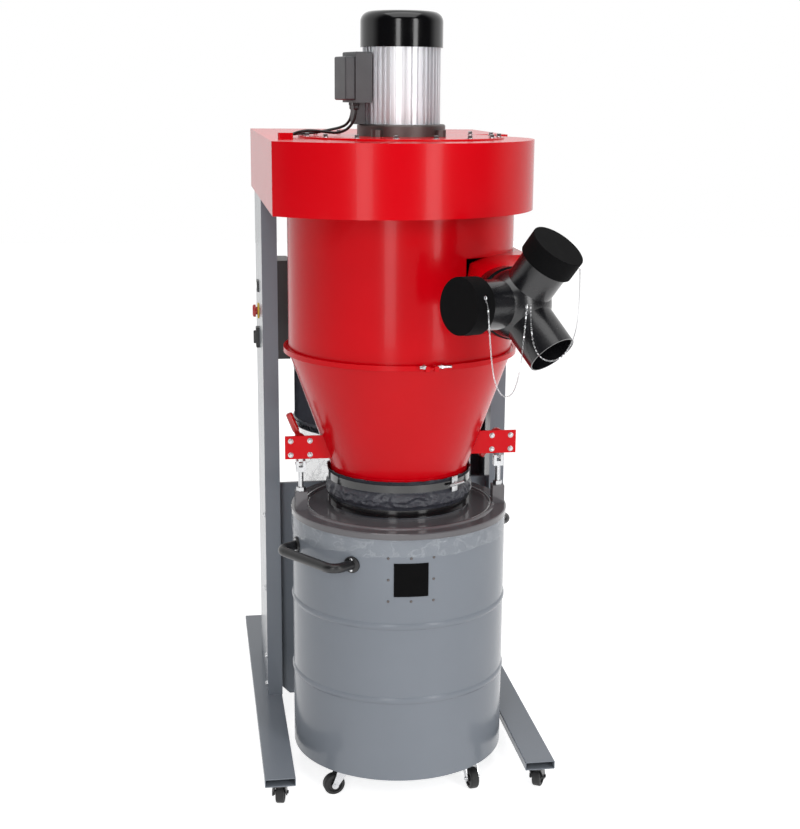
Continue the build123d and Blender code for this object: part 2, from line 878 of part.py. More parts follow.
# Lugs on the lid: short square tubes with closed tops that the lift rods screw into
lug_top = lid_top + lug_height
with BuildPart() as lugs:
    with BuildSketch(level(lid_top + lid_bead_height)):
        with Locations((-rod_x, rod_y), (rod_x, rod_y)):
            Rectangle(lug_width, lug_width)
    extrude(amount=lug_height - lid_bead_height)
    with BuildSketch(level(lid_top)):
        with Locations((-rod_x, rod_y), (rod_x, rod_y)):
            Rectangle(lug_width, lug_width)
    extrude(amount=lid_bead_height)
    with BuildSketch(level(lid_top)):
        with Locations((-rod_x, rod_y), (rod_x, rod_y)):
            Rectangle(lug_width - 2 * lug_wall, lug_width - 2 * lug_wall)
    extrude(amount=lug_height - lug_wall, mode=Mode.SUBTRACT)
    with BuildSketch(level(lid_top)):
        with Locations((-rod_x, rod_y), (rod_x, rod_y)):
            Circle(rod_radius + seat_gap)
    extrude(amount=lug_height, mode=Mode.SUBTRACT)
    with BuildSketch(Plane.XZ):
        with BuildLine():
            ThreePointArc(
                (lid_bead_radius - lid_bead_width / 2, lid_top),
                (lid_bead_radius, lid_top + lid_bead_height),
                (lid_bead_radius + lid_bead_width / 2, lid_top),
            )
            Line(
                (lid_bead_radius + lid_bead_width / 2, lid_top),
                (lid_bead_radius - lid_bead_width / 2, lid_top),
            )
        make_face()
    revolve(axis=Axis.Z, mode=Mode.SUBTRACT)
save(lugs, "lid_lugs")

# Lift rods: threaded rod with nuts at the lug and a clevis under the bracket
clevis_top = bracket_low - clevis_gap
for side, name in ((-1, "left_lift_rod"), (1, "right_lift_rod")):
    with BuildPart() as rod:
        with BuildSketch(level(lug_top - rod_engagement)):
            with Locations((side * rod_x, rod_y)):
                Circle(rod_radius)
        extrude(amount=clevis_top - clevis_height - lug_top + rod_engagement)
        with BuildSketch(level(lug_top)):
            with Locations((side * rod_x, rod_y)):
                RegularPolygon(nut_across / 2, 6, major_radius=False)
        extrude(amount=nut_height)
        with BuildSketch(level(clevis_top - clevis_height)):
            with Locations((side * rod_x, rod_y)):
                Rectangle(clevis_width, clevis_depth)
        extrude(amount=clevis_height)
        chamfer(rod.faces().sort_by(Axis.Z)[-1].edges(), length=clevis_chamfer)
        with BuildSketch(level(clevis_top - clevis_slot_depth)):
            with Locations((side * rod_x, rod_y)):
                Rectangle(clevis_slot, clevis_depth)
        extrude(amount=clevis_height, mode=Mode.SUBTRACT)
        with BuildSketch(facing_right(side * rod_x, rod_y, clevis_top - clevis_pin_drop)):
            Circle(clevis_pin_radius)
        extrude(amount=clevis_width / 2 + clevis_pin_proud, both=True)
    save(rod, name)

# Brackets: bolted plates on arms welded to the cone, each with the lever's pivot pin
plate_back = rod_y - clevis_depth / 2 - plate_gap
lever_y = rod_y + clevis_depth / 2 + lever_gap + lever_grip_radius
with BuildPart() as brackets:
    for side in (-1, 1):
        with BuildSketch(facing_back(0, plate_back - bracket_thickness, (bracket_low + bracket_high) / 2)):
            with Locations((side * (bracket_outer + neck_radius) / 2, 0)):
                Rectangle(bracket_outer - neck_radius, bracket_high - bracket_low)
        extrude(amount=bracket_thickness)
        with BuildSketch(level((bracket_low + bracket_high) / 2)):
            with Locations((side * (bracket_inner + neck_radius) / 2, plate_back + gusset_depth / 2)):
                Rectangle(bracket_inner - neck_radius, gusset_depth)
        extrude(amount=-bracket_thickness)
        with BuildSketch(facing_back(side * rod_x, plate_back, pivot_level)):
            Circle(pivot_radius)
        extrude(amount=lever_y + lever_thickness / 2 + pivot_proud - plate_back)
    with Locations((0, 0, (taper_top + cone_bottom) / 2)):
        Cone(neck_radius, barrel_radius, taper_top - cone_bottom, mode=Mode.SUBTRACT)
save(brackets, "lift_brackets")

# Levers: a bored boss on the pivot pin, a flat arm and a round grip
for side, angle, name in (
    (-1, left_lever_angle, "left_lift_lever"),
    (1, right_lever_angle, "right_lift_lever"),
):
    turn = radians(angle)
    swing = Plane(
        origin=(side * rod_x, lever_y, pivot_level), x_dir=(cos(turn), 0, sin(turn)), z_dir=(0, -1, 0)
    )
    with BuildPart() as lever:
        with BuildSketch(swing.offset(-lever_thickness / 2)):
            Circle(lever_boss_radius)
        extrude(amount=lever_thickness)
        with BuildSketch(swing.offset(-lever_arm_thickness / 2)):
            with Locations((lever_arm_length / 2, 0)):
                Rectangle(lever_arm_length, lever_arm_width)
        extrude(amount=lever_arm_thickness)
        grip_start = swing.origin + swing.x_dir * lever_grip_start
        with BuildSketch(Plane(origin=grip_start, x_dir=(0, 1, 0), z_dir=swing.x_dir)):
            Circle(lever_grip_radius)
        extrude(amount=lever_length - lever_grip_start)
        fillet(lever.faces().sort_by(Axis(swing.origin, swing.x_dir))[-1].edges(), radius=lever_grip_round)
        with BuildSketch(swing.offset(-lever_thickness)):
            Circle(pivot_radius + running_gap)
        extrude(amount=2 * lever_thickness, mode=Mode.SUBTRACT)
    save(lever, name)

# Sleeve between the cone and the lid, with a band at each end
sleeve_low = lid_top + sleeve_lift_off
sleeve_high = cone_bottom - sleeve_top_drop
sleeve_radius = neck_radius + seat_gap + sleeve_thickness
with BuildPart() as sleeve:
    extrude(ring(sleeve_radius, sleeve_thickness, sleeve_low), amount=sleeve_high - sleeve_low)
save(sleeve, "neck_sleeve")

band_radius = sleeve_radius + seat_gap + band_thickness
for low, name in (
    (cone_bottom - spigot_length + band_inset, "upper_sleeve_band"),
    (lid_top + sleeve_lift_off + band_inset, "lower_sleeve_band"),
):
    with BuildPart() as band:
        extrude(ring(band_radius, band_thickness, low), amount=band_height)
    save(band, name)

# Casters: a top plate with its raceway and kingpin, a fork that swivels and a wheel
leg_caster_y = (leg_front + leg_caster_inset, leg_rear - leg_caster_inset)
drum_caster_turn = drum_caster_radius / sqrt(2)
casters = (
    ("front_left", -leg_middle, leg_caster_y[0], leg_low, 80, True),
    ("front_right", leg_middle, leg_caster_y[0], leg_low, 60, True),
    ("rear_left", -leg_middle, leg_caster_y[1], leg_low, 80, False),
    ("rear_right", leg_middle, leg_caster_y[1], leg_low, 110, False),
    ("drum_front_left", -drum_caster_turn, -drum_caster_turn, drum_floor, 190, False),
    ("drum_front_right", drum_caster_turn, -drum_caster_turn, drum_floor, 280, False),
    ("drum_rear_left", -drum_caster_turn, drum_caster_turn, drum_floor, 150, False),
    ("drum_rear_right", drum_caster_turn, drum_caster_turn, drum_floor, 20, False),
)
with BuildPart() as plates:
    for name, x, y, top, heading, braked in casters:
        with BuildSketch(level(top)):
            with Locations((x, y)):
                RectangleRounded(caster_plate, caster_plate, 5)
        extrude(amount=-caster_plate_thickness)
        with BuildSketch(level(top - caster_plate_thickness)):
            with Locations((x, y)):
                Circle(raceway_radius)
        extrude(amount=-raceway_height)
        with BuildSketch(level(top - caster_plate_thickness - raceway_height)):
            with Locations((x, y)):
                Circle(kingpin_radius)
        extrude(amount=-(fork_sheet + 2 * seat_gap + kingpin_head))
        with BuildSketch(level(top - caster_plate_thickness - raceway_height - fork_sheet - 2 * seat_gap)):
            with Locations((x, y)):
                Circle(kingpin_radius + kingpin_rim)
        extrude(amount=-kingpin_head)
save(plates, "caster_plates")

for name, x, y, top, heading, braked in casters:
    turn = radians(heading)
    crown = top - caster_plate_thickness - raceway_height - seat_gap
    cheek = wheel_width / 2 + wheel_side_gap
    upright = Plane(
        origin=(x, y, 0), x_dir=(cos(turn), sin(turn), 0), z_dir=(sin(turn), -cos(turn), 0)
    )
    with BuildPart() as fork:
        with BuildSketch(Plane(origin=(x, y, crown), x_dir=(cos(turn), sin(turn), 0), z_dir=(0, 0, 1))):
            Circle(raceway_radius)
            Rectangle(fork_crown, 2 * (cheek + fork_sheet))
        extrude(amount=-fork_sheet)
        for face in (cheek, -cheek - fork_sheet):
            with BuildSketch(upright.offset(face)):
                with BuildLine():
                    Polyline(
                        (-fork_crown / 2, crown),
                        (fork_crown / 2, crown),
                        (caster_trail + fork_foot / 2, wheel_radius),
                        (caster_trail - fork_foot / 2, wheel_radius),
                        close=True,
                    )
                make_face()
                with Locations((caster_trail, wheel_radius)):
                    Circle(fork_foot / 2)
            extrude(amount=fork_sheet)
        with BuildSketch(upright):
            with Locations((caster_trail, wheel_radius)):
                Circle(axle_radius)
        extrude(amount=cheek + fork_sheet + axle_proud, both=True)
        with BuildSketch(level(crown - 2 * fork_sheet)):
            with Locations((x, y)):
                Circle(kingpin_radius + running_gap)
        extrude(amount=3 * fork_sheet, mode=Mode.SUBTRACT)
        if braked:
            with BuildSketch(upright.offset(-cheek - fork_sheet - pedal_thickness)):
                with Locations((caster_trail, wheel_radius + fork_foot / 2)):
                    SlotOverall(pedal_length, pedal_width, rotation=pedal_turn)
            extrude(amount=pedal_thickness)
    save(fork, f"{name}_caster_fork")

    with BuildPart() as wheel:
        with BuildSketch(upright.offset(-wheel_width / 2)):
            with Locations((caster_trail, wheel_radius)):
                Circle(wheel_radius)
        extrude(amount=wheel_width)
        fillet(wheel.edges(), radius=tread_round)
        for face in (-wheel_width / 2, wheel_width / 2 - hub_recess):
            with BuildSketch(upright.offset(face)):
                with Locations((caster_trail, wheel_radius)):
                    Circle(recess_outer)
                    Circle(recess_inner, mode=Mode.SUBTRACT)
            extrude(amount=hub_recess, mode=Mode.SUBTRACT)
        with BuildSketch(upright.offset(-wheel_width)):
            with Locations((caster_trail, wheel_radius)):
                Circle(axle_radius + running_gap)
        extrude(amount=2 * wheel_width, mode=Mode.SUBTRACT)
    save(wheel, f"{name}_caster_wheel")


def cord(route, diameter):
    """A tube along a route, each corner rounded as far as its two runs allow."""
    corners = []
    for before, here, after in zip(route, route[1:], route[2:]):
        run_in = Vector(*here) - Vector(*before)
        run_out = Vector(*after) - Vector(*here)
        half_turn = radians(run_in.get_angle(run_out)) / 2
        corners.append(0.45 * min(run_in.length, run_out.length) / tan(half_turn))
    print("smallest radius of the next cord", round(min(corners), 1))
    with BuildPart() as tube:
        with BuildLine():
            line = FilletPolyline(*route, radius=corners)
        with BuildSketch(Plane(origin=line @ 0, z_dir=line % 0)):
            Circle(diameter / 2)
        sweep()
    return tube.part


# Keeper chains of the port caps, hanging from a cap to the hub
chain_diameter = 3
side_cap_chain = (
    (90.2, -507.8, 1213.4),
    (94, -519, 1201),
    (96, -520, 1170),
    (101, -514, 1125),
    (107, -506, 1080),
    (115, -499, 1045),
    (126, -494, 1022),
    (139, -489, 1011),
    (153, -485, 1015),
    (163, -482, 1034),
    (170, -480, 1066),
    (174, -480, 1104),
    (177, -480.5, 1140),
    (180, -477, 1169),
    (183.5, -465.9, 1189),
)
top_cap_chain = (
    (191.5, -464.7, 1191.5),
    (190, -476, 1179),
    (189, -483, 1155),
    (190, -493, 1129),
    (195, -505, 1106),
    (204.2, -518, 1093.6),
    (217.4, -530, 1090),
    (233.1, -536, 1095.5),
    (249.9, -531, 1108.2),
    (272.6, -498, 1127.9),
    (287, -472, 1160),
    (294, -454, 1198),
    (297.5, -440, 1238),
    (298.5, -433, 1266),
    (295.8, -427.4, 1289),
)
for route, name in ((side_cap_chain, "side_cap_chain"), (top_cap_chain, "top_cap_chain")):
    chain_tube = cord(route, chain_diameter)
    with BuildPart() as chain:
        add(chain_tube)
    save(chain, name)

# Cables from the terminal box over the cover to the bushing on the housing
cable_diameter = 6
motor_cable = (
    (-107, -52, 1576.8),
    (-107.5, -52, 1555),
    (-113, -48, 1534),
    (-127, -40, 1518),
    (-146, -28, 1511.5),
    (-168, -12, 1513),
    (-190, -1, 1515.5),
    (-211, 3, 1516),
    (-230, -4, 1512.5),
    (-244, -20, 1508),
    (-252, -42, 1505.2),
    (-256.5, -66, 1504.6),
    (-258, -bushing_y, 1504.5),
)
switch_cable = (
    (-110, -6.7, 1576.8),
    (-110.3, -6, 1558),
    (-114, -1, 1540),
    (-123, 6, 1527.5),
    (-138, 11, 1521.5),
    (-157, 14, 1517.5),
    (-179, 17, 1512.5),
    (-203, 18, 1509.5),
    (-227, 15, 1508.8),
    (-247, 5, 1506.8),
    (-261, -12, 1504.9),
    (-268, -36, 1504.6),
    (-270, -62, 1504.5),
    (-270.4, -bushing_y, 1504.4),
)
motor_cable_tube = cord(motor_cable, cable_diameter)
switch_cable_tube = cord(switch_cable, cable_diameter)
with BuildPart() as cables:
    add([motor_cable_tube, switch_cable_tube])
save(cables, "motor_cables")
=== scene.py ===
# %% [markdown]
# # A mobile cyclone dust collector
#
# The machine is a red fan housing, barrel and cone on a grey wheeled frame, above a drum that rolls out.
# The imported model gives every rigid piece at its real size. These cells give each of them its finish,
# and add the soft pieces, chains and small fasteners that the imported model leaves plain.

# %% Load the imported model
from math import cos, pi, radians, sin, sqrt, tau

import bmesh
import bpy
from mathutils import Matrix, Vector, noise


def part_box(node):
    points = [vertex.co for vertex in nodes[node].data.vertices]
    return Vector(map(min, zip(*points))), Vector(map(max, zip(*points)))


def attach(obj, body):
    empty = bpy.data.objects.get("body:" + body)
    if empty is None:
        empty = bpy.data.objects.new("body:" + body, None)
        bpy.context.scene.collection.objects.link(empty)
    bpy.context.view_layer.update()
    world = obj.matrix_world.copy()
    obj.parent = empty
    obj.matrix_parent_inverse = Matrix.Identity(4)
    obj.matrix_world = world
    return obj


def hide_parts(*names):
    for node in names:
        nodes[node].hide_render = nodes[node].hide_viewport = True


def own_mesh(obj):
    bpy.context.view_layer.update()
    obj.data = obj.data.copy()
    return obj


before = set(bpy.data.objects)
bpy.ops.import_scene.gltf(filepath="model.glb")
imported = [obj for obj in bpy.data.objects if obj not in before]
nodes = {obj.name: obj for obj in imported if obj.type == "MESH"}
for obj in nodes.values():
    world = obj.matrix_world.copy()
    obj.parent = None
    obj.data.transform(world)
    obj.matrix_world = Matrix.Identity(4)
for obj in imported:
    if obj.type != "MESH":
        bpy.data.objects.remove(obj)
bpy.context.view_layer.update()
print("pieces in the packed model:", len(nodes))

# %% [markdown]
# ## The camera
#
# A camera is fitted to a photograph by finding the place, turn and lens from which known edges of the
# model land on their pictures. The lens is written as a focal length in pixels of an image 829 high,
# because that is what such a fit gives. The small shift says that the photograph was trimmed unevenly.

# %% Place the camera
picture_height = 829
focal_in_pixels = 1410.8
centre_offset_in_pixels = 11.75
camera_place = Vector((-0.4759, -3.1629, 1.6051))
camera_heading = 0.1585
camera_pitch = 0.2262
camera_roll = 0.0089

camera_data = bpy.data.cameras.new("photo_camera")
camera_data.sensor_fit = "AUTO"
camera_data.sensor_width = 36
camera_data.lens = focal_in_pixels * camera_data.sensor_width / picture_height
camera_data.shift_x = -centre_offset_in_pixels / picture_height
camera = bpy.data.objects.new("photo_camera", camera_data)
turn = (
    Matrix.Rotation(-camera_heading, 4, "Z")
    @ Matrix.Rotation(pi / 2 - camera_pitch, 4, "X")
    @ Matrix.Rotation(camera_roll, 4, "Z")
)
camera.matrix_world = Matrix.Translation(camera_place) @ turn
bpy.context.scene.collection.objects.link(camera)
bpy.context.scene.camera = camera
bpy.context.scene.view_settings.view_transform = "Standard"
print("lens:", round(camera_data.lens, 1), "mm")

# %% [markdown]
# ## Shader maths
#
# A pattern such as brushed metal is a formula on the place of each point. Written with nodes it takes
# dozens of lines, so one small class wraps a socket and lets Python's own operators add the Math nodes.

# %% Wrap sockets so that they take part in arithmetic


class Wire:
    """A shader socket that can be added, multiplied and subtracted."""

    def __init__(self, finish, socket):
        self.finish = finish
        self.socket = socket

    def combine(self, operation, *others):
        inputs = dict(enumerate(others))
        return self.finish.node("Math", {"operation": operation}, inputs)

    def __add__(self, other):
        return self.combine("ADD", self, other)

    def __mul__(self, other):
        return self.combine("MULTIPLY", self, other)

    def __sub__(self, other):
        return self.combine("SUBTRACT", self, other)

    def __rsub__(self, other):
        return self.combine("SUBTRACT", other, self)

    __radd__ = __add__
    __rmul__ = __mul__


class Finish:
    """One material: nodes are added one by one, and all end in a Principled shader."""

    def __init__(self, name):
        self.material = bpy.data.materials.new(name)
        self.material.use_nodes = True
        self.tree = self.material.node_tree
        self.shader = self.tree.nodes["Principled BSDF"]

    def feed(self, socket, value):
        if isinstance(value, Wire):
            self.tree.links.new(value.socket, socket)
        else:
            socket.default_value = value

    def node(self, kind, settings=None, inputs=None, output=0):
        made = self.tree.nodes.new("ShaderNode" + kind)
        for name, value in (settings or {}).items():
            setattr(made, name, value)
        for name, value in (inputs or {}).items():
            self.feed(made.inputs[name], value)
        return Wire(self, made.outputs[output])

    def place(self, *stretch):
        """The point on the object, stretched along each axis."""
        point = self.node("TexCoord", output=3)
        if not stretch:
            return point
        return self.node("Mapping", inputs={"Vector": point, "Scale": stretch})

    def noise(self, scale, detail=2.0, vector=None):
        """Soft noise from 0 to 1, with a scale in patches a metre."""
        inputs = {"Vector": vector or self.place(), "Scale": scale, "Detail": detail}
        return self.node("TexNoise", inputs=inputs)

    def ramp(self, factor, low, high):
        """A factor pulled out so that low becomes 0 and high becomes 1."""
        inputs = {"Value": factor, "From Min": low, "From Max": high}
        return self.node("MapRange", inputs=inputs)

    def blend(self, factor, first, second):
        """A colour between two colours."""
        inputs = {"Factor": factor, 6: first, 7: second}
        return self.node("Mix", {"data_type": "RGBA"}, inputs, output=2)

    def bump(self, height, depth):
        """A normal from a height in metres, scaled by the depth."""
        return self.node("Bump", inputs={"Height": height, "Distance": depth, "Strength": 1.0})

    def finish_with(self, **values):
        for name, value in values.items():
            self.feed(self.shader.inputs[name.replace("_", " ").title().replace("Ior", "IOR")], value)
        return self.material


def colour(red, green, blue):
    """A colour from the numbers that a picture editor shows, as light."""
    shares = (channel / 255 for channel in (red, green, blue))
    return (*(((share + 0.055) / 1.055) ** 2.4 if share > 0.04 else share / 12.92 for share in shares), 1.0)


def scaled(base, share):
    """The same colour at a share of its strength."""
    return (*(share * channel for channel in base[:3]), 1.0)


# %% [markdown]
# ## Paint
#
# Powder coat is a smooth skin with a faint ripple, like the peel of an orange, that breaks the edges of
# reflections. A noise of a few millimetres through a Bump node gives the ripple, and a slower noise varies
# how rough it is. The gloss sets how much it mirrors: a deep red mirrors little, so that it stays red.

# %% Red and grey powder coat


def powder_coat(name, base, worn, roughness, ripple, gloss):
    finish = Finish(name)
    cloud = finish.ramp(finish.noise(3.0, 4.0), 0.35, 0.7)
    peel = finish.noise(260.0, 1.0)
    return finish.finish_with(
        base_color=finish.blend(cloud, base, worn),
        roughness=roughness + 0.05 * finish.noise(14.0, 3.0),
        normal=finish.bump(peel, ripple),
        specular_ior_level=gloss,
        coat_weight=0.4 * gloss,
        coat_roughness=0.03,
    )


red_paint = powder_coat("red_paint", colour(196, 0, 12), colour(206, 0, 18), 0.2, 0.00003, 0.14)
grey_paint = powder_coat("grey_paint", colour(122, 128, 136), colour(128, 134, 142), 0.2, 0.00006, 0.2)
lid_paint = powder_coat("lid_paint", colour(92, 90, 93), colour(97, 95, 98), 0.1, 0.00003, 0.4)
print("paint is mixed")

# %% [markdown]
# ## Mouldings
#
# Moulded black plastic is either matt with a fine grain, as on the cowl and the terminal box, or glossy
# with flow marks, as on the hose manifold. Both are nearly black, so what shows is how they reflect.

# %% Black, red and yellow mouldings


def moulding(name, base, roughness, grain, depth, coat=0.0, gloss=0.5):
    finish = Finish(name)
    fine = finish.noise(grain, 2.0)
    return finish.finish_with(
        base_color=finish.blend(finish.noise(20.0, 3.0), base, scaled(base, 0.8)),
        roughness=roughness + 0.12 * finish.noise(35.0, 4.0),
        normal=finish.bump(fine, depth),
        specular_ior_level=gloss,
        coat_weight=coat,
        coat_roughness=0.1,
    )


black_plastic = moulding("black_plastic", colour(24, 24, 26), 0.3, 1600.0, 0.00004)
cowl_paint = moulding("cowl_paint", colour(6, 6, 8), 0.1, 500.0, 0.00003, 0.3, gloss=0.3)
matt_black = moulding("matt_black", colour(5, 5, 6), 0.75, 900.0, 0.00005, gloss=0.1)
hoop_gloss = moulding("hoop_gloss", colour(10, 10, 12), 0.08, 200.0, 0.00004, 0.6)
cable_rubber = moulding("cable_rubber", colour(14, 14, 15), 0.35, 600.0, 0.00003)
black_moulding = moulding("black_moulding", colour(19, 19, 22), 0.2, 300.0, 0.00008, 0.2)
red_plastic = moulding("red_plastic", colour(188, 18, 16), 0.25, 500.0, 0.00003, 0.3)
yellow_plastic = moulding("yellow_plastic", colour(228, 188, 30), 0.3, 500.0, 0.00003)
wheel_rubber = moulding("wheel_rubber", colour(26, 26, 27), 0.5, 900.0, 0.0001)
box_plastic = moulding("box_plastic", colour(62, 63, 66), 0.38, 1400.0, 0.00006)

# %% [markdown]
# ## Bare metal
#
# Drawn aluminium has streaks that run along the fins, so its noise is squeezed along Z. Zinc plate is
# bright and slightly mottled. Cast metal is darker and rough.

# %% Aluminium, zinc, chrome and casting


def bare_metal(name, base, roughness, spread, stretch, scale, depth):
    finish = Finish(name)
    streak = finish.noise(scale, 4.0, finish.place(*stretch))
    return finish.finish_with(
        base_color=finish.blend(streak, base, scaled(base, 0.75)),
        metallic=1.0,
        roughness=roughness + spread * streak,
        normal=finish.bump(streak, depth),
    )


along_z = (1, 1, 0.02)
even = (1, 1, 1)
motor_aluminium = bare_metal("motor_aluminium", colour(240, 241, 244), 0.34, 0.2, along_z, 400.0, 0.00005)
zinc_plate = bare_metal("zinc_plate", colour(205, 206, 208), 0.18, 0.2, even, 90.0, 0.00003)
chrome = bare_metal("chrome", colour(225, 226, 228), 0.06, 0.08, even, 60.0, 0.00001)
dark_casting = bare_metal("dark_casting", colour(112, 106, 104), 0.4, 0.15, even, 500.0, 0.0002)

# %% [markdown]
# ## Cloth and film
#
# Coated cloth is dark and half glossy, so its creases catch the light. Its weave is two sets of fine
# threads, seen only as a faint bump. Film is a clear skin: its colour is pale, and alpha lets most of the
# light through, while the gloss stays. Along the crease ridges the alpha rises, so that the pale colour
# shows there as bright lines: a painted highlight on the creases.

# %% Coated cloth, filter cloth and clear film


def cloth(name, base, roughness, threads, weave_depth, crease_depth):
    finish = Finish(name)
    spacing = {"Vector": finish.place(), "Scale": threads}
    warp = finish.node("TexWave", {"bands_direction": "Z"}, spacing)
    weft = finish.node("TexWave", {"bands_direction": "DIAGONAL"}, spacing)
    crease = finish.noise(70.0, 5.0)
    height = weave_depth * (warp + weft) + crease_depth * crease
    return finish.finish_with(
        base_color=finish.blend(finish.noise(30.0, 4.0), base, scaled(base, 1.5)),
        roughness=roughness + 0.15 * finish.noise(50.0, 3.0),
        normal=finish.bump(height, 1.0),
    )


def film(name, base, alpha, creases, depth):
    finish = Finish(name)
    ridge = finish.noise(creases, 3.0) - 0.5
    # The crease ridge shapes the bump, and through alpha it also paints a highlight along each crease.
    sharp = 1.0 - finish.node("Math", {"operation": "ABSOLUTE"}, {0: ridge * 6.0})
    return finish.finish_with(
        base_color=base,
        roughness=0.07,
        alpha=alpha + 0.16 * finish.ramp(sharp, 0.75, 1.0),
        normal=finish.bump(sharp, depth),
        specular_ior_level=0.9,
    )


sleeve_cloth = cloth("sleeve_cloth", colour(52, 53, 60), 0.22, 500.0, 0.00004, 0.0018)
filter_cloth = cloth("filter_cloth", colour(78, 82, 92), 0.75, 900.0, 0.0001, 0.0002)
clear_film = film("clear_film", colour(214, 219, 224), 0.08, 30.0, 0.0009)
bag_film = film("bag_film", colour(205, 210, 216), 0.26, 16.0, 0.0016)

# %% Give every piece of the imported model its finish
finishes = {
    red_paint: (
        "cyclone_barrel inlet_duct cone joint_clamp_ring fan_housing motor_cover_plate filter_plenum"
        " lift_brackets"
    ),
    grey_paint: (
        "left_leg right_leg rear_crossbar left_side_panel right_side_panel lower_back_panel drum"
    ),
    lid_paint: "drum_lid lid_lugs",
    black_plastic: "control_box speed_display power_switch drum_handles",
    hoop_gloss: "upper_sleeve_band lower_sleeve_band",
    cable_rubber: "motor_cables",
    matt_black: "side_port_cap top_port_cap",
    cowl_paint: "motor_cowl",
    box_plastic: "terminal_box",
    black_moulding: "inlet_manifold",
    red_plastic: "emergency_stop_button left_lift_lever right_lift_lever",
    yellow_plastic: "emergency_stop_collar",
    motor_aluminium: "motor_body",
    dark_casting: "motor_flange",
    zinc_plate: "caster_plates left_lift_rod right_lift_rod",
}
for material, names in finishes.items():
    for name in names.split():
        nodes[name].data.materials.clear()
        nodes[name].data.materials.append(material)
for name, node in nodes.items():
    if name.endswith(("_wheel", "_fork")):
        fork_finish = zinc_plate if name.startswith("drum") else black_plastic
        node.data.materials.clear()
        node.data.materials.append(wheel_rubber if name.endswith("_wheel") else fork_finish)

# %% [markdown]
# ## Tools for new pieces
#
# Every new piece starts as an empty bmesh. The helpers below add a standing disc, a dome, a ring or a
# turned outline to it, and the last one turns the mesh into a piece that rides on a body. Edges sharper
# than 35 degrees are marked sharp, so that the rest can be shaded smooth.

# %% Add shapes to a mesh and make a piece of it
sharp_angle = radians(35)


def facing(place, direction):
    """A matrix that moves a shape to a place and turns its Z to a direction."""
    return Matrix.Translation(place) @ Vector(direction).to_track_quat("Z", "Y").to_matrix().to_4x4()


def add_disc(shape, place, direction, radius, height, segments=24, rim=0.0):
    """A closed cylinder that stands on a place, with a rounded top rim."""
    stand = facing(place, direction)
    made = bmesh.ops.create_cone(
        shape,
        cap_ends=True,
        segments=segments,
        radius1=radius,
        radius2=radius,
        depth=height,
        matrix=stand @ Matrix.Translation((0, 0, height / 2)),
    )
    if rim:
        level = stand.inverted()
        top = [vert for vert in made["verts"] if (level @ vert.co).z > height / 2]
        edges = {edge for vert in top for edge in vert.link_edges if edge.other_vert(vert) in top}
        bmesh.ops.bevel(
            shape, geom=list(edges), offset=rim, segments=3, profile=0.5, affect="EDGES", material=-1
        )


def add_dome(shape, place, direction, radius, flatness=0.5):
    """A flattened ball, half sunk, such as the head of a rivet."""
    matrix = facing(place, direction) @ Matrix.Diagonal((1, 1, flatness, 1))
    bmesh.ops.create_uvsphere(shape, u_segments=14, v_segments=8, radius=radius, matrix=matrix)


def add_ring(shape, place, axis, radius, wire, steps=32, segments=8):
    """A ring of round wire about an axis."""
    stand = facing(place, axis)
    circle = stand @ Matrix.Translation((radius, 0, 0)) @ Matrix.Rotation(pi / 2, 4, "X")
    made = bmesh.ops.create_circle(shape, segments=segments, radius=wire, matrix=circle)
    loop = made["verts"] + list({edge for vert in made["verts"] for edge in vert.link_edges})
    bmesh.ops.spin(
        shape, geom=loop, cent=place, axis=stand.col[2].xyz, angle=tau, steps=steps, use_merge=True
    )


def add_turned(shape, outline, centre=(0.0, 0.0), steps=96, closed=True):
    """An outline of radius and height, turned about an upright axis."""
    verts = [shape.verts.new((centre[0] + radius, centre[1], height)) for radius, height in outline]
    ends = verts[1:] + verts[:1] if closed else verts[1:]
    edges = [shape.edges.new(pair) for pair in zip(verts, ends)]
    bmesh.ops.spin(
        shape,
        geom=verts + edges,
        cent=(*centre, 0),
        axis=(0, 0, 1),
        angle=tau,
        steps=steps,
        use_merge=True,
    )


def add_block(shape, place, direction, width, height, depth, rim=0.0):
    """A box that stands on a place, with all its edges rounded when a rim is given."""
    stand = facing(place, direction)
    size = Matrix.Translation((0, 0, depth / 2)) @ Matrix.Diagonal((width, height, depth, 1))
    made = bmesh.ops.create_cube(shape, size=1.0, matrix=stand @ size)
    if rim:
        edges = list({edge for vert in made["verts"] for edge in vert.link_edges})
        bmesh.ops.bevel(
            shape, geom=edges, offset=rim, segments=3, profile=0.5, affect="EDGES", material=-1
        )


def add_bolt(shape, place, direction, across, washer):
    """A hexagon head on a washer."""
    washer_height = 0.0015
    head = Vector(place) + Vector(direction) * washer_height
    add_disc(shape, place, direction, washer, washer_height, 24, 0.0004)
    add_disc(shape, head, direction, across / 2, 0.006, 6, 0.0007)


def add_button(shape, place, direction, radius):
    """A round button head on a washer."""
    washer_height = 0.0014
    head = Vector(place) + Vector(direction) * washer_height
    add_disc(shape, place, direction, 1.3 * radius, washer_height, 24, 0.0004)
    add_disc(shape, head, direction, radius, 0.6 * radius, 24, 0.45 * radius)


def piece(name, shape, material, body):
    """Turn a bmesh into a finished piece that rides on a body."""
    bmesh.ops.recalc_face_normals(shape, faces=shape.faces)
    for edge in shape.edges:
        edge.smooth = not edge.is_manifold or edge.calc_face_angle(0.0) < sharp_angle
    for face in shape.faces:
        face.smooth = True
    mesh = bpy.data.meshes.new(name)
    shape.to_mesh(mesh)
    shape.free()
    mesh.materials.append(material)
    made = bpy.data.objects.new(name, mesh)
    bpy.context.scene.collection.objects.link(made)
    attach(made, body)
    print(name, len(mesh.polygons), "faces")
    return made
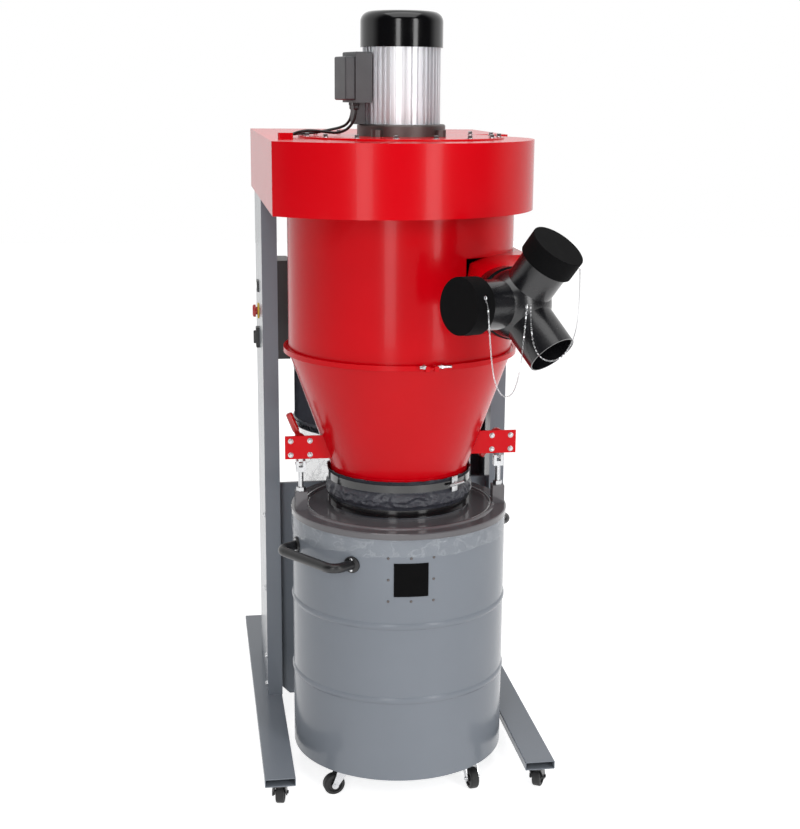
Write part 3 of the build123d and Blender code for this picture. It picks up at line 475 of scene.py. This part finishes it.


# %% [markdown]
# ## The neck
#
# Between the cone and the lid sits a short sleeve of coated cloth, held by a glossy hoop at each end. It
# is crumpled where nothing holds it and smooth under the hoops. A turned tube with many rows takes the
# folds: noise that is long round the neck and short in height pushes its points in and out.

# %% Crumple the neck sleeve
sleeve_low, sleeve_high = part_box("neck_sleeve")[0][2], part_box("neck_sleeve")[1][2]
sleeve_radius = 0.1625
hoop_levels = [
    (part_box(name)[0][2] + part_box(name)[1][2]) / 2 for name in ("lower_sleeve_band", "upper_sleeve_band")
]
hoop_half = 0.0095
fold_ramp = 0.011


def looseness(height):
    """0 under a hoop and 1 well away from both."""
    distance = min(abs(height - level) for level in hoop_levels) - hoop_half
    share = min(max(distance / fold_ramp, 0.0), 1.0)
    return share * share * (3 - 2 * share)


def crumple(point, along, upright):
    """Sharp folds from 0 to 1 at a place, with their own density along and up the sleeve."""
    angle = Vector((point.x, point.y, 0)).angle(Vector((1, 0, 0))) * (1 if point.y > 0 else -1)
    turn = Vector((cos(angle), sin(angle), 0)) * along
    skew = 2.2 * noise.noise(turn * 0.7 + Vector((0, 0, 3.1)))
    return 1 - 2 * abs(noise.noise(turn + Vector((0, 0, point.z * upright + skew))))


def add_sleeve(shape):
    rows = 44
    heights = [sleeve_low + (sleeve_high - sleeve_low) * row / rows for row in range(rows + 1)]
    add_turned(shape, [(sleeve_radius, height) for height in heights], steps=360, closed=False)
    for vert in shape.verts:
        loose = looseness(vert.co.z)
        big = crumple(vert.co, 5.0, 60.0)
        small = crumple(vert.co, 14.0, 150.0)
        outwards = Vector((vert.co.x, vert.co.y, 0)).normalized()
        vert.co += outwards * loose * (0.0025 + 0.005 * big + 0.0018 * small)


shape = bmesh.new()
add_sleeve(shape)
sleeve = piece("sleeve", shape, sleeve_cloth, "root")
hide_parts("neck_sleeve")
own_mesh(sleeve)

# %% Buckle of the upper hoop
hoop_radius = 0.1668
buckle_turn = radians(-50)
buckle_way = Vector((cos(buckle_turn), sin(buckle_turn), 0))
buckle_along = Vector((-sin(buckle_turn), cos(buckle_turn), 0))
buckle_place = buckle_way * hoop_radius + Vector((0, 0, hoop_levels[1]))
buckle_height = 0.004
screw_height = 0.0075
screw_length = 0.05
screw_start = buckle_place + buckle_way * screw_height - buckle_along * 0.024
shape = bmesh.new()
add_block(shape, buckle_place, buckle_way, 0.019, 0.036, buckle_height, 0.0012)
add_disc(shape, buckle_place + buckle_way * buckle_height, buckle_way, 0.005, 0.003, 20, 0.001)
add_disc(shape, screw_start, buckle_along, 0.003, screw_length, 16, 0.0005)
piece("hoop_buckle", shape, zinc_plate, "root")

# %% [markdown]
# ## Clear film
#
# The bag liner is folded out over the top of the drum, so its rim shows below the lid as a thin clear
# skirt with a wavy edge. The dust bag under the filter is the same film. Clear film shows by its bright
# creases: the folds are in the mesh and the finest creases in the bump, and the crease ridges are also
# painted more opaque in the pale film colour, which is a painted highlight.

# %% Fold the rim of the liner over the drum
film_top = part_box("bag_liner_rim")[1][2]
film_edge = 0.603
film_radius = 0.2507
skirt_level = 0.643
free_ramp = 0.012


def edge_height(angle):
    """The wavy lower edge of the film."""
    turn = Vector((cos(angle), sin(angle), 0))
    return film_edge + 0.009 * noise.noise(turn * 3.0) + 0.003 * noise.noise(turn * 11.0)


shape = bmesh.new()
rows = 16
add_turned(shape, [(film_radius, row / rows) for row in range(rows + 1)], steps=420, closed=False)
for vert in shape.verts:
    angle = Vector((vert.co.x, vert.co.y)).angle_signed(Vector((1, 0)))
    low = edge_height(angle)
    vert.co.z = film_top + (low - film_top) * vert.co.z
    free = min(max((skirt_level - vert.co.z) / free_ramp, 0.0), 1.0)
    crease = crumple(vert.co, 9.0, 45.0)
    slack = 0.5 + noise.noise(Vector((vert.co.x * 9, vert.co.y * 9, vert.co.z * 20)))
    outwards = Vector((vert.co.x, vert.co.y, 0)).normalized()
    vert.co += outwards * free * (0.0006 + 0.0022 * max(crease, 0) * slack)
liner_rim = piece("liner_rim", shape, clear_film, "root")
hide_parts("bag_liner_rim")

# %% Hang the dust bag under the filter
filter_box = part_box("filter_canister")
filter_y = (filter_box[0][1] + filter_box[1][1]) / 2
filter_low, filter_high = filter_box[0][2], filter_box[1][2]
filter_radius = (filter_box[1][0] - filter_box[0][0]) / 2
bag_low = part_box("filter_dust_bag")[0][2]
hem_top = filter_low + 0.016
bag_outline = [
    (filter_radius + 0.0008, hem_top),
    (filter_radius + 0.0006, filter_low + 0.002),
]
side_rows = 34
foot_rows = 14
bag_round = 0.075
bag_radius = filter_radius - 0.008
bag_waist = 0.006
side_top = filter_low - 0.003
for row in range(side_rows + 1):
    share = row / side_rows
    height = side_top + (bag_low + bag_round - side_top) * share
    bag_outline.append((bag_radius - bag_waist * sin(pi * share), height))
for row in range(1, foot_rows + 1):
    turn = 0.5 * pi * row / foot_rows
    bag_outline.append((bag_radius - bag_round * (1 - cos(turn)), bag_low + bag_round * (1 - sin(turn))))
for share in (0.8, 0.6, 0.4, 0.2, 0.04):
    bag_outline.append(((bag_radius - bag_round) * share, bag_low + 0.004 * (1 - share)))
shape = bmesh.new()
add_turned(shape, bag_outline, centre=(0.0, filter_y), steps=240, closed=False)
for vert in shape.verts:
    if vert.co.z < filter_low - 0.006:
        outwards = Vector((vert.co.x, vert.co.y - filter_y, 0))
        turn = outwards.normalized()
        hang = min((filter_low - vert.co.z) / 0.09, 1.0)
        pleat = noise.noise(turn * 6.0 + Vector((0, 0, vert.co.z * 3)))
        crease = 1 - 2 * abs(noise.noise(turn * 3.0 + Vector((0, 0, vert.co.z * 22))))
        shift = hang * (0.006 * pleat + 0.004 * crease - 0.004)
        vert.co += turn * shift * min(outwards.length / 0.1, 1.0)
        vert.co.z += 0.003 * hang * max(crease, 0) if vert.co.z < bag_low + 0.02 else 0
dust_bag = piece("dust_bag", shape, bag_film, "root")
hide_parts("filter_dust_bag")
shape = bmesh.new()
strap_mid = filter_low + 0.009
strap_radius = filter_radius + 0.0016
strap_half = 0.006
strap_thickness = 0.0012
add_turned(
    shape,
    [
        (strap_radius, strap_mid - strap_half),
        (strap_radius + strap_thickness, strap_mid - strap_half),
        (strap_radius + strap_thickness, strap_mid + strap_half),
        (strap_radius, strap_mid + strap_half),
    ],
    centre=(0.0, filter_y),
    steps=160,
)
catch_place = Vector((0, filter_y + strap_radius, strap_mid))
catch_length = 0.048
catch_start = catch_place + Vector((-catch_length / 2, 0.006, 0))
add_block(shape, catch_place, (0, 1, 0), 0.03, 0.016, 0.005, 0.001)
add_disc(shape, catch_start, (1, 0, 0), 0.003, catch_length, 16, 0.0005)
piece("dust_bag_strap", shape, zinc_plate, "root")

# %% [markdown]
# ## The filter
#
# A cartridge filter is a sheet of stiff cloth folded into a few hundred narrow pleats between two metal
# end bands. The pleats are one zigzag, turned from a ring whose points lie in and out by turns.

# %% Pleat the filter and cap its ends
pleats = 160
pleat_rows = 10
band_height = 0.022
band_flange = 0.014
band_edge = 0.0015
groove_half = 0.004
thread_half = 0.003
thread_thickness = 0.0015
pleat_outer = filter_radius - 0.003
pleat_depth = 0.011
pleat_hidden = 0.004
shape = bmesh.new()
low, high = filter_low + band_height - pleat_hidden, filter_high - band_height + pleat_hidden
ring = bmesh.ops.create_circle(shape, segments=2 * pleats, radius=pleat_outer)
for vert in ring["verts"][1::2]:
    vert.co *= (pleat_outer - pleat_depth) / pleat_outer
bmesh.ops.translate(shape, vec=(0, filter_y, low), verts=ring["verts"])
row_edges = list(shape.edges)
for row in range(pleat_rows):
    made = bmesh.ops.extrude_edge_only(shape, edges=row_edges)["geom"]
    row_verts = [item for item in made if isinstance(item, bmesh.types.BMVert)]
    upper = set(row_verts)
    row_edges = [
        item for item in made if isinstance(item, bmesh.types.BMEdge) and upper.issuperset(item.verts)
    ]
    bmesh.ops.translate(shape, vec=(0, 0, (high - low) / pleat_rows), verts=row_verts)
filter_media = piece("filter_pleats", shape, filter_cloth, "root")
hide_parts("filter_canister")
shape = bmesh.new()
for low, high in ((filter_low, filter_low + band_height), (filter_high - band_height, filter_high)):
    middle = (low + high) / 2
    add_turned(
        shape,
        [
            (filter_radius - band_flange, low),
            (filter_radius - band_edge, low),
            (filter_radius, low + band_edge),
            (filter_radius, middle - groove_half),
            (filter_radius - band_edge, middle),
            (filter_radius, middle + groove_half),
            (filter_radius, high - band_edge),
            (filter_radius - band_edge, high),
            (filter_radius - band_flange, high),
        ],
        centre=(0.0, filter_y),
        steps=160,
    )
piece("filter_end_bands", shape, grey_paint, "root")
shape = bmesh.new()
for share in (0.25, 0.5, 0.75):
    height = filter_low + share * (filter_high - filter_low)
    add_turned(
        shape,
        [
            (pleat_outer, height - thread_half),
            (pleat_outer + thread_thickness, height - thread_half),
            (pleat_outer + thread_thickness, height + thread_half),
            (pleat_outer, height + thread_half),
        ],
        centre=(0.0, filter_y),
        steps=160,
    )
piece("filter_threads", shape, black_plastic, "root")

# %% [markdown]
# ## Keeper chains
#
# Each port cap is kept by a light chain that hangs in a loop to a ring on the hub. The loop is a smooth
# curve that a few chosen places control, and oval links follow it, each turned a quarter against the last.

# %% Hang the chains
link_pitch = 0.0042
link_radius = 0.0012
link_wire = 0.00042
link_stretch = 0.0014
side_chain_route = (
    (0.0902, -0.5078, 1.2134),
    (0.094, -0.519, 1.201),
    (0.096, -0.52, 1.17),
    (0.101, -0.514, 1.125),
    (0.107, -0.506, 1.08),
    (0.115, -0.499, 1.045),
    (0.126, -0.494, 1.022),
    (0.139, -0.489, 1.011),
    (0.153, -0.485, 1.015),
    (0.163, -0.482, 1.034),
    (0.17, -0.48, 1.066),
    (0.174, -0.48, 1.104),
    (0.177, -0.4805, 1.14),
    (0.18, -0.477, 1.169),
    (0.1835, -0.4659, 1.189),
)
top_chain_route = (
    (0.1915, -0.4647, 1.1915),
    (0.19, -0.476, 1.179),
    (0.189, -0.483, 1.155),
    (0.19, -0.493, 1.129),
    (0.195, -0.505, 1.106),
    (0.2042, -0.518, 1.0936),
    (0.2174, -0.53, 1.09),
    (0.2331, -0.536, 1.0955),
    (0.2499, -0.531, 1.1082),
    (0.2726, -0.498, 1.1279),
    (0.287, -0.472, 1.16),
    (0.294, -0.454, 1.198),
    (0.2975, -0.44, 1.238),
    (0.2985, -0.433, 1.266),
    (0.2958, -0.4274, 1.289),
)


def smooth_line(route):
    """Close points along the NURBS curve that a route controls."""
    curve = bpy.data.curves.new("route", "CURVE")
    curve.dimensions = "3D"
    curve.resolution_u = 12
    spline = curve.splines.new("NURBS")
    spline.points.add(len(route) - 1)
    for point, place in zip(spline.points, route):
        point.co = (*place, 1.0)
    spline.order_u = 3
    spline.use_endpoint_u = True
    guide = bpy.data.objects.new("route", curve)
    line = bpy.data.meshes.new_from_object(guide)
    points = [vert.co.copy() for vert in line.vertices]
    bpy.data.objects.remove(guide)
    return points


def walk(points, pitch):
    """Places and directions at even steps along a line of points."""
    travelled, wanted = 0.0, pitch / 2
    for here, there in zip(points, points[1:]):
        run = (there - here).length
        while wanted <= travelled + run:
            yield here.lerp(there, (wanted - travelled) / run), (there - here).normalized()
            wanted += pitch
        travelled += run


link = bmesh.new()
add_ring(link, (0, 0, 0), (0, 1, 0), link_radius, link_wire, steps=12, segments=6)
for vert in link.verts:
    vert.co.z += link_stretch if vert.co.z > 0 else -link_stretch
link_mesh = bpy.data.meshes.new("link")
link.to_mesh(link_mesh)
link.free()
for route, name in ((side_chain_route, "side_cap_chain"), (top_chain_route, "top_cap_chain")):
    line = smooth_line(route)
    shape = bmesh.new()
    for number, (place, way) in enumerate(walk(line, link_pitch)):
        count = len(shape.verts)
        shape.from_mesh(link_mesh)
        shape.verts.ensure_lookup_table()
        quarter = Matrix.Rotation(pi / 2 * (number % 2), 4, "Z")
        bmesh.ops.transform(shape, matrix=facing(place, way) @ quarter, verts=shape.verts[count:])
    chain = piece(name + "_links", shape, chrome, "root")
    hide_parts(name)
    sum((b - a).length for a, b in zip(line, line[1:]))

# %% Split rings and their eyes
hub_middle = Vector((0.18, -0.3925, 1.1841))
side_way = Vector((-0.866, -0.4973, 0.0523))
top_way = Vector((0.433, -0.4189, 0.7982))
shape = bmesh.new()
for place, way, ring_radius in (
    (Vector(side_chain_route[0]), side_way, 0.004),
    (Vector(side_chain_route[-1]), None, 0.0053),
    (Vector(top_chain_route[-1]), top_way, 0.0042),
):
    outwards = place - hub_middle
    if way:
        outwards = outwards - way * outwards.dot(way)
    outwards.normalize()
    add_ring(shape, place + outwards * 0.0005, outwards.cross((0, 0, 1)), ring_radius, 0.0007)
    add_disc(shape, place - outwards * 0.0015, outwards, 0.0028, 0.002, 16, 0.0004)
piece("split_rings", shape, chrome, "root")

# %% [markdown]
# ## Small fasteners
#
# Bolts, rivets and screws catch the light in small bright points, and the eye reads the scale of a
# machine from them. They stand on the pieces that they hold.

# %% Bolts of the cover, brackets, panels and joint
cover_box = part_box("motor_cover_plate")
cover_top = cover_box[1][2]
cover_bolt_inset = 0.012
cover_bolt_circle = (cover_box[1][0] - cover_box[0][0]) / 2 - cover_bolt_inset
cover_bolts = 16
cover_bolt_across = 0.01
cover_washer = 0.007
shape = bmesh.new()
for number in range(cover_bolts):
    turn = tau * (number + 0.5) / cover_bolts
    place = (cover_bolt_circle * cos(turn), cover_bolt_circle * sin(turn), cover_top)
    add_bolt(shape, place, (0, 0, 1), cover_bolt_across, cover_washer)
piece("cover_bolts", shape, zinc_plate, "root")

bracket_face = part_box("lift_brackets")[0][1]
bracket_bolts_x = (0.212, 0.256)
bracket_bolts_z = (0.791, 0.8235)
bracket_bolt_radius = 0.0048
shape = bmesh.new()
for side in (-1, 1):
    for x in bracket_bolts_x:
        for z in bracket_bolts_z:
            add_button(shape, (side * x, bracket_face, z), (0, -1, 0), bracket_bolt_radius)
piece("bracket_bolts", shape, zinc_plate, "root")

panel_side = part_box("right_side_panel")[1][0]
panel_bolt_y = 0.245
panel_bolt_levels = (0.564, 0.371, 0.187, 0.11)
panel_bolt_radius = 0.006
shape = bmesh.new()
for side in (-1, 1):
    for z in panel_bolt_levels:
        add_button(shape, (side * panel_side, panel_bolt_y, z), (side, 0, 0), panel_bolt_radius)
piece("panel_bolts", shape, zinc_plate, "root")

draw_bolt_turn = radians(-84)
draw_bolt_way = Vector((-sin(draw_bolt_turn), cos(draw_bolt_turn), 0))
draw_bolt_level = 1.0335
draw_bolt_reach = 0.275
draw_bolt_out = Vector((cos(draw_bolt_turn), sin(draw_bolt_turn), 0))
draw_bolt_place = draw_bolt_out * draw_bolt_reach + Vector((0, 0, draw_bolt_level))
draw_bolt_radius = 0.0035
draw_nut_radius = 0.006
draw_bolt_start = 0.013
shape = bmesh.new()
for way, length, nut_start, nut_height in (
    (draw_bolt_way, 0.03, 0.019, 0.006),
    (-draw_bolt_way, 0.014, 0.016, 0.005),
):
    add_disc(shape, draw_bolt_place + way * draw_bolt_start, way, draw_bolt_radius, length, 20, 0.0006)
    add_disc(shape, draw_bolt_place + way * nut_start, way, draw_nut_radius, nut_height, 6, 0.0006)
piece("draw_bolt", shape, zinc_plate, "root")

# %% Plate, rivets and handle feet of the drum
drum_wall = 0.25
plate_middle = Vector((-0.008, 0, 0.551))
plate_size = 0.077
plate_thickness = 0.0016
rivet_across = 0.051
rivet_up = 0.05
rivet_radius = 0.0032


def wrap(point, outer):
    """Bend a flat point, given as across, depth and height, round the front of the drum."""
    turn = point.x / drum_wall
    return Vector((sin(turn) * (outer + point.y), -cos(turn) * (outer + point.y), point.z))


shape = bmesh.new()
bmesh.ops.create_cube(shape, size=1.0)
bmesh.ops.subdivide_edges(shape, edges=list(shape.edges), cuts=12, use_grid_fill=True)
for vert in shape.verts:
    flat = Vector((vert.co.x * plate_size, (vert.co.y + 0.5) * plate_thickness, vert.co.z * plate_size))
    vert.co = wrap(flat + plate_middle, drum_wall)
piece("drum_plate", shape, matt_black, "root")
shape = bmesh.new()
for across in (-rivet_across, 0.0, rivet_across):
    for up in (-rivet_up, 0.0, rivet_up):
        if across or up:
            place = wrap(plate_middle + Vector((across, 0, up)), drum_wall)
            add_dome(shape, place, (place.x, place.y, 0), rivet_radius)
piece("drum_rivets", shape, dark_casting, "root")

handle_turns = (radians(-145), radians(35))
handle_half = 0.095
handle_height = (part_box("drum_handles")[0][2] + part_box("drum_handles")[1][2]) / 2
foot_radius = 0.019
foot_height = 0.005
foot_screw_up = 0.0125
foot_screw_radius = 0.0035
shape = bmesh.new()
screws = bmesh.new()
for turn in handle_turns:
    for side in (-1, 1):
        outwards = Vector((cos(turn), sin(turn), 0))
        across = Vector((-sin(turn), cos(turn), 0)) * side
        reach = sqrt(drum_wall**2 - handle_half**2)
        place = outwards * reach + across * handle_half + Vector((0, 0, handle_height))
        way = Vector((place.x, place.y, 0)).normalized()
        add_disc(shape, place, way, foot_radius, foot_height, 32, 0.002)
        for up in (-foot_screw_up, foot_screw_up):
            add_dome(screws, place + way * foot_height + Vector((0, 0, up)), way, foot_screw_radius)
piece("handle_feet", shape, black_plastic, "root")
piece("handle_screws", screws, zinc_plate, "root")

# %% Glands of the motor cables
down = Vector((0, 0, -1))
gland_nut_height = 0.006
shape = bmesh.new()
for place in (Vector((-0.107, -0.052, 1.5768)), Vector((-0.11, -0.0067, 1.5768))):
    add_disc(shape, place, down, 0.0085, gland_nut_height, 6, 0.0008)
    add_disc(shape, place + down * gland_nut_height, down, 0.0065, 0.009, 24, 0.003)
piece("cable_glands", shape, black_plastic, "root")

# %% Window of the speed display
display_low, display_high = (Vector(corner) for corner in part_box("speed_display"))
window_place = (display_low + display_high) / 2
window_place.x = display_low.x
shape = bmesh.new()
add_block(shape, window_place, (-1, 0, 0), 0.034, 0.016, 0.0006, 0.0003)
piece("display_window", shape, hoop_gloss, "root")

# %% [markdown]
# ## Studio
#
# A product photograph is lit by large soft boxes, so that every round black part carries one or two
# upright highlights. The floor and the world are white for the eye, and give much less light than they
# show, which keeps the colours at the level at which they are written. Reflections see the world white
# behind the machine and dark in front of it, where the room is.

# %% Floor, world and soft boxes
room_reflection = 0.05
fill_light = 0.42
floor_glow = 0.75


def math_node(tree, operation, first, second):
    """One Math node in the tree of the world, from two sockets or numbers."""
    node = tree.nodes.new("ShaderNodeMath")
    node.operation = operation
    for socket, value in zip(node.inputs, (first, second)):
        if isinstance(value, (int, float)):
            socket.default_value = value
        else:
            tree.links.new(value, socket)
    return node.outputs[0]


world = bpy.data.worlds.new("studio")
world.use_nodes = True
world_tree = world.node_tree
background = world_tree.nodes["Background"]
background.inputs["Color"].default_value = (1.0, 1.0, 1.0, 1.0)
path = world_tree.nodes.new("ShaderNodeLightPath")
direction = world_tree.nodes.new("ShaderNodeSeparateXYZ")
coordinates = world_tree.nodes.new("ShaderNodeTexCoord")
world_tree.links.new(coordinates.outputs["Generated"], direction.inputs[0])
backdrop = world_tree.nodes.new("ShaderNodeMapRange")
backdrop.inputs["From Min"].default_value = -0.25
backdrop.inputs["From Max"].default_value = 0.15
backdrop.inputs["To Min"].default_value = room_reflection
backdrop.inputs["To Max"].default_value = 1.0
world_tree.links.new(direction.outputs["Y"], backdrop.inputs["Value"])
mirrored = math_node(world_tree, "MULTIPLY", path.outputs["Is Glossy Ray"], backdrop.outputs[0])
straight, through = path.outputs["Is Camera Ray"], path.outputs["Is Transmission Ray"]
seen = math_node(world_tree, "MAXIMUM", straight, through)
shown = math_node(world_tree, "MAXIMUM", seen, mirrored)
fill = math_node(world_tree, "MULTIPLY", path.outputs["Is Diffuse Ray"], fill_light)
strength = math_node(world_tree, "MAXIMUM", shown, fill)
world_tree.links.new(strength, background.inputs["Strength"])
bpy.context.scene.world = world

floor_mesh = bpy.data.meshes.new("floor")
shape = bmesh.new()
bmesh.ops.create_grid(shape, x_segments=1, y_segments=1, size=12.0)
shape.to_mesh(floor_mesh)
floor = bpy.data.objects.new("floor", floor_mesh)
bpy.context.scene.collection.objects.link(floor)
floor_finish = Finish("floor")
sight = floor_finish.node("LightPath", output=0) + floor_finish.node("LightPath", output=3)
floor_finish.feed(floor_finish.shader.inputs["Emission Color"], (1.0, 1.0, 1.0, 1.0))
floor_finish.feed(floor_finish.shader.inputs["Emission Strength"], floor_glow * sight)
floor_mesh.materials.append(floor_finish.finish_with(base_color=(0.85, 0.85, 0.85, 1.0), roughness=0.7))


def soft_box(name, place, width, height, power):
    """A large rectangular lamp that looks at the middle of the machine."""
    lamp_data = bpy.data.lights.new(name, "AREA")
    lamp_data.shape = "RECTANGLE"
    lamp_data.size = width
    lamp_data.size_y = height
    lamp_data.energy = power
    lamp = bpy.data.objects.new(name, lamp_data)
    lamp.location = place
    aim = Vector((0, 0, 0.95)) - Vector(place)
    lamp.rotation_euler = aim.to_track_quat("-Z", "Y").to_euler()
    bpy.context.scene.collection.objects.link(lamp)


soft_box("left_box", (-1.1, -3.4, 1.7), 0.7, 2.6, 36)
soft_box("right_box", (1.7, -3.0, 1.7), 0.7, 2.6, 40)
soft_box("top_box", (0.0, -0.8, 3.6), 2.4, 2.4, 46)
